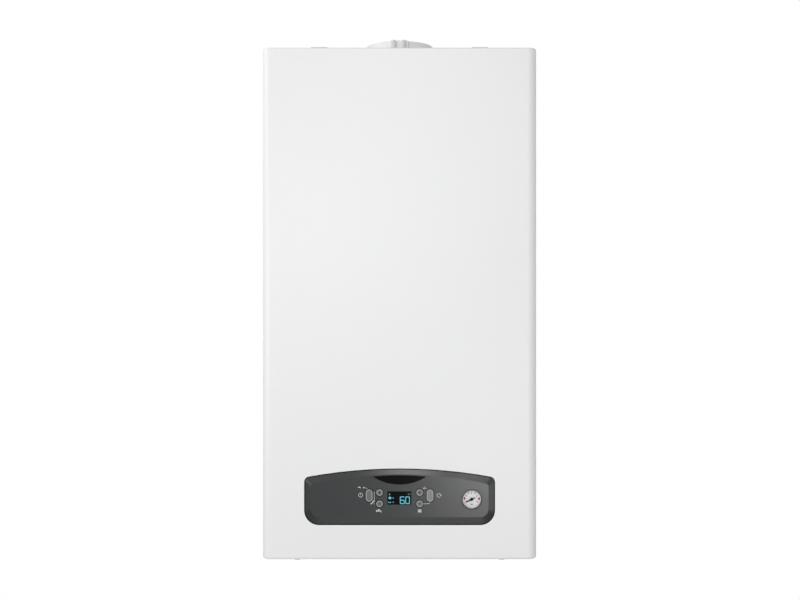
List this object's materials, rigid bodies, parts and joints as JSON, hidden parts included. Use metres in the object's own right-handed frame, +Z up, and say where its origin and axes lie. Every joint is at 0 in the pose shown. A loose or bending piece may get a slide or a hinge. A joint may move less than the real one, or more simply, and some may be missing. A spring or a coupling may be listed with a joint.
{
  "type": "wall-hung combination boiler",
  "caption": "White wall-hung gas combination boiler with tilt-off front cover, fold-down control box, push buttons, pressure gauge and top flue collar.",
  "frame": {"origin": "midway between the two wall screws, on the wall plane", "axes": "+Z up, +Y into the wall, the front faces -Y, +X to the right seen from the front"},
  "size_m": [0.4, 0.319, 0.8094],
  "materials": {
    "white_coat": "smooth semi-gloss powder coat",
    "zinc_sheet": "zinc-coated sheet",
    "plated_screws": "bright zinc plate",
    "foam": "closed-cell foam",
    "white_plastic": "moulded, satin",
    "grey_plastic": "moulded, satin",
    "grey_rubber": "ribbed, matt",
    "cast_aluminium": "as cast",
    "stainless": "smooth drawn",
    "ceramic": "glazed",
    "black_plastic": "moulded, matt",
    "dark_metal": "black coat",
    "red_coat": "gloss paint",
    "brass_casting": "as cast",
    "red_plastic": "moulded",
    "copper_pipe": "drawn copper",
    "dark_plastic": "moulded, matt",
    "panel_grey": "fine satin grain",
    "badge_black": "high gloss, blank",
    "display_black": "high gloss",
    "board_green": "solder mask",
    "button_grey": "satin",
    "dial_white": "printed card",
    "needle_black": "matt",
    "clear_lens": "clear"
  },
  "bodies": {
    "chassis": {"back_frame": "zinc_sheet", "wall_bracket": "zinc_sheet", "side_panel_left": "white_coat", "side_panel_right": "white_coat", "top_plate": "zinc_sheet", "bottom_plate": "zinc_sheet", "top_rail": "zinc_sheet", "bottom_rail": "zinc_sheet", "cover_seal": "foam", "casing_screws": "plated_screws", "flue_collar": "white_plastic", "sampling_plugs": "grey_plastic", "intake_caps": "white_plastic", "flue_duct": "white_plastic", "exchanger_shell": "cast_aluminium", "exchanger_coil": "cast_aluminium", "burner": "stainless", "burner_door": "cast_aluminium", "door_nuts": "plated_screws", "ignition_electrode": "ceramic", "fan_housing": "cast_aluminium", "fan_motor": "dark_metal", "air_silencer": "black_plastic", "gas_valve": "cast_aluminium", "gas_pipe": "stainless", "expansion_vessel": "red_coat", "vessel_hose": "stainless", "pump_body": "brass_casting", "pump_motor": "dark_metal", "return_manifold": "brass_casting", "flow_manifold": "brass_casting", "diverter_motor": "black_plastic", "plate_exchanger": "stainless", "safety_valve": "brass_casting", "flow_pipe": "copper_pipe", "return_pipe": "copper_pipe", "condensate_trap": "grey_plastic", "condensate_hose": "grey_rubber"},
    "front_cover": {"front_cover": "white_coat"},
    "control_box": {"control_housing": "dark_plastic", "control_fascia": "panel_grey", "badge_insert": "badge_black", "display_window": "display_black", "display_board": "board_green", "main_board": "board_green", "gauge_body": "black_plastic", "gauge_dial": "dial_white", "gauge_lens": "clear_lens"},
    "needle": {"gauge_needle": "needle_black"},
    "fan_rotor": {"fan_impeller": "black_plastic"},
    "pump_rotor": {"pump_impeller": "white_plastic"},
    "diverter_valve": {"diverter_spindle": "stainless"},
    "relief_knob": {"safety_valve_knob": "red_plastic"},
    "fill_knob": {"fill_tap_knob": "black_plastic"},
    "button_mode": {"button_mode": "button_grey"},
    "button_reset": {"button_reset": "button_grey"},
    "button_hot_water_plus": {"button_hot_water_plus": "button_grey"},
    "button_hot_water_minus": {"button_hot_water_minus": "button_grey"},
    "button_heating_plus": {"button_heating_plus": "button_grey"},
    "button_heating_minus": {"button_heating_minus": "button_grey"}
  },
  "joints": [
    {"name": "cover_tilt", "type": "hinge", "parent": "chassis", "child": "front_cover", "pos_m": [0, -0.299, 0.0428], "axis": [-1, 0, 0], "range_deg": [0, 25]},
    {"name": "control_swing", "type": "hinge", "parent": "chassis", "child": "control_box", "pos_m": [0, -0.288, -0.672], "axis": [1, 0, 0], "range_deg": [0, 70]},
    {"name": "needle_turn", "type": "hinge", "parent": "control_box", "child": "needle", "pos_m": [0.105, -0.315, -0.6122], "axis": [0, 1, 0], "range_deg": [0, 231.6], "stiffness_Nm_per_rad": 0.0001},
    {"name": "fan_spin", "type": "hinge", "parent": "chassis", "child": "fan_rotor", "pos_m": [0.122, -0.256, -0.26], "axis": [0, 1, 0], "continuous": true},
    {"name": "pump_spin", "type": "hinge", "parent": "chassis", "child": "pump_rotor", "pos_m": [0.134, -0.128, -0.465], "axis": [0, 1, 0], "continuous": true},
    {"name": "diverter_travel", "type": "slide", "parent": "chassis", "child": "diverter_valve", "axis": [0, -1, 0], "range_m": [0, 0.007]},
    {"name": "relief_knob_turn", "type": "hinge", "parent": "chassis", "child": "relief_knob", "pos_m": [0.165, -0.178, -0.59], "axis": [0, -1, 0], "range_deg": [0, 90]},
    {"name": "fill_knob_turn", "type": "hinge", "parent": "chassis", "child": "fill_knob", "pos_m": [0.1005, -0.15, -0.722], "axis": [0, 0, -1], "range_deg": [0, 90]},
    {"name": "button_mode_press", "type": "slide", "parent": "control_box", "child": "button_mode", "axis": [0, 1, 0], "range_m": [0, 0.0012], "stiffness_N_per_m": 500},
    {"name": "button_reset_press", "type": "slide", "parent": "control_box", "child": "button_reset", "axis": [0, 1, 0], "range_m": [0, 0.0012], "stiffness_N_per_m": 500},
    {"name": "button_hot_water_plus_press", "type": "slide", "parent": "control_box", "child": "button_hot_water_plus", "axis": [0, 1, 0], "range_m": [0, 0.0012], "stiffness_N_per_m": 500},
    {"name": "button_hot_water_minus_press", "type": "slide", "parent": "control_box", "child": "button_hot_water_minus", "axis": [0, 1, 0], "range_m": [0, 0.0012], "stiffness_N_per_m": 500},
    {"name": "button_heating_plus_press", "type": "slide", "parent": "control_box", "child": "button_heating_plus", "axis": [0, 1, 0], "range_m": [0, 0.0012], "stiffness_N_per_m": 500},
    {"name": "button_heating_minus_press", "type": "slide", "parent": "control_box", "child": "button_heating_minus", "axis": [0, 1, 0], "range_m": [0, 0.0012], "stiffness_N_per_m": 500}
  ],
  "couplings": [
    {"joint": "control_swing", "follows": "cover_tilt", "ratio": 2.8}
  ]
}
